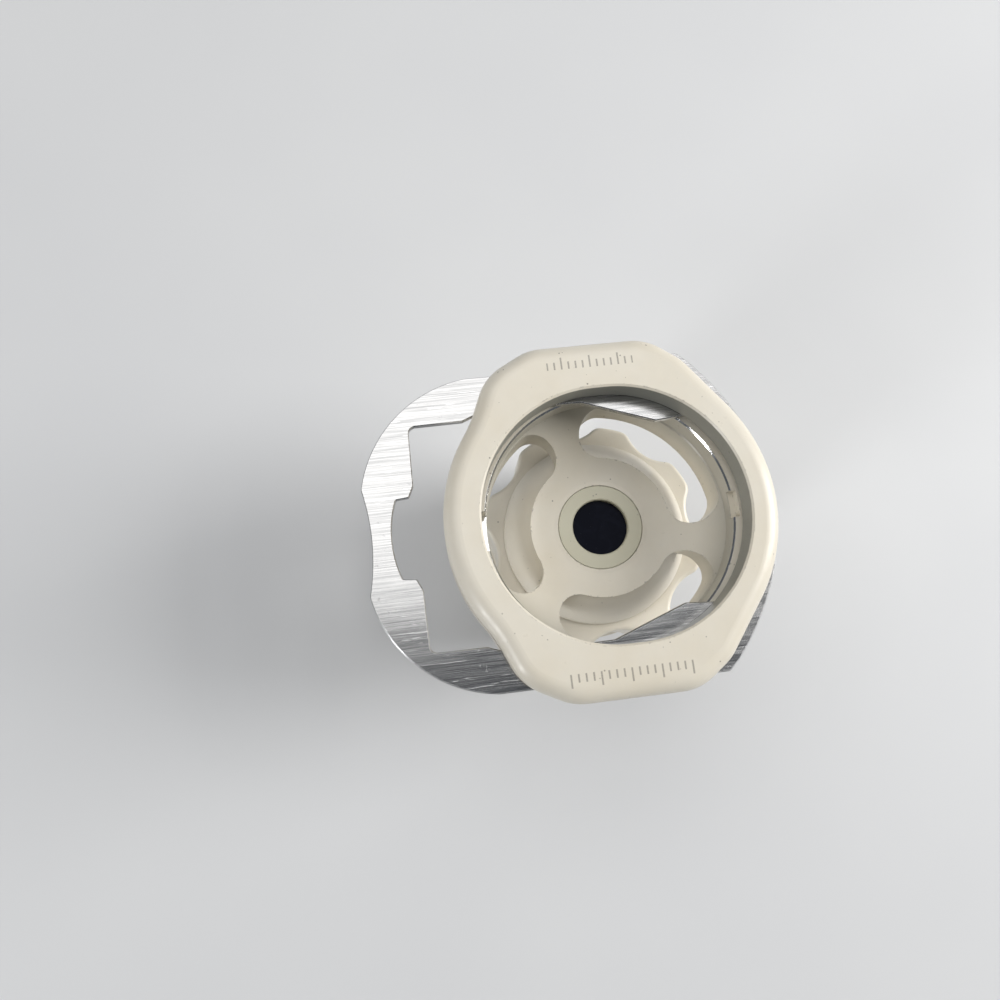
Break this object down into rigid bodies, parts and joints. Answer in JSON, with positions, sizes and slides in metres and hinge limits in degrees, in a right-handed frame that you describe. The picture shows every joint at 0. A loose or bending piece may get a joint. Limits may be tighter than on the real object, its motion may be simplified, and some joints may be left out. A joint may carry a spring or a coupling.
{
  "type": "endoscope camera coupler",
  "caption": "Camera coupler with a sliding spring latch plate that clamps a scope eyepiece, a vented cup, a scalloped focus ring and a threaded camera base.",
  "frame": {"origin": "on the optical axis at the camera flange face, where the threaded spigot starts", "axes": "+Z along the optical axis towards the eyepiece; the latch plate's thumb loop points along -X; the two ears lie along Y"},
  "size_m": [0.0525, 0.0452, 0.04],
  "materials": {
    "ivory_anodised": "satin bead-blasted hard anodising, ivory",
    "bezel_anodised": "satin anodised, slightly greener ivory",
    "brushed_stainless": "lengthwise brushed, bright chamfered edges",
    "stainless_screw": "turned",
    "spring_steel": "drawn wire",
    "black_anodised": "matt black anodised",
    "brass_pin": "turned",
    "window_glass": "polished, coated",
    "lens_glass": "polished, coated",
    "seal_rubber": "smooth",
    "washer_plastic": "matt"
  },
  "bodies": {
    "body": {"cover_ring": "ivory_anodised", "cup_body": "ivory_anodised", "cover_screws": "stainless_screw", "window_bezel": "bezel_anodised", "window_glass": "window_glass", "window_seal": "seal_rubber", "barrel": "black_anodised", "focus_stop_pin": "stainless_screw", "neck_set_screws": "stainless_screw", "c_mount_ring": "ivory_anodised", "c_mount_set_screws": "stainless_screw", "rear_window": "window_glass", "rear_seal": "seal_rubber", "rear_retaining_ring": "black_anodised", "lower_friction_washer": "washer_plastic", "upper_friction_washer": "washer_plastic", "latch_spring_upper": "spring_steel", "latch_spring_lower": "spring_steel"},
    "latch": {"latch_plate": "brushed_stainless", "latch_pins": "stainless_screw"},
    "focus_ring_body": {"focus_ring": "ivory_anodised"},
    "lens_cell_body": {"lens_cell": "black_anodised", "cam_pins": "brass_pin", "front_crown_lens": "lens_glass", "front_flint_lens": "lens_glass", "lens_spacer": "black_anodised", "rear_lens": "lens_glass", "lens_retaining_ring": "black_anodised", "aperture_stop": "black_anodised"}
  },
  "joints": [
    {"name": "latch_slide", "type": "slide", "parent": "body", "child": "latch", "axis": [1, 0, 0], "range_m": [0, 0.0096], "stiffness_N_per_m": 400, "springref_m": -0.01, "deforming": ["latch_spring_upper", "latch_spring_lower"]},
    {"name": "focus_turn", "type": "hinge", "parent": "body", "child": "focus_ring_body", "pos_m": [0, 0, 0.013], "axis": [0, 0, 1], "range_deg": [-60, 60]},
    {"name": "lens_cell_slide", "type": "slide", "parent": "body", "child": "lens_cell_body", "axis": [0, 0, 1], "range_m": [-0.00151, 0.00151]}
  ],
  "couplings": [
    {"joint": "lens_cell_slide", "follows": "focus_turn", "m_per_rad": -0.0014324}
  ]
}
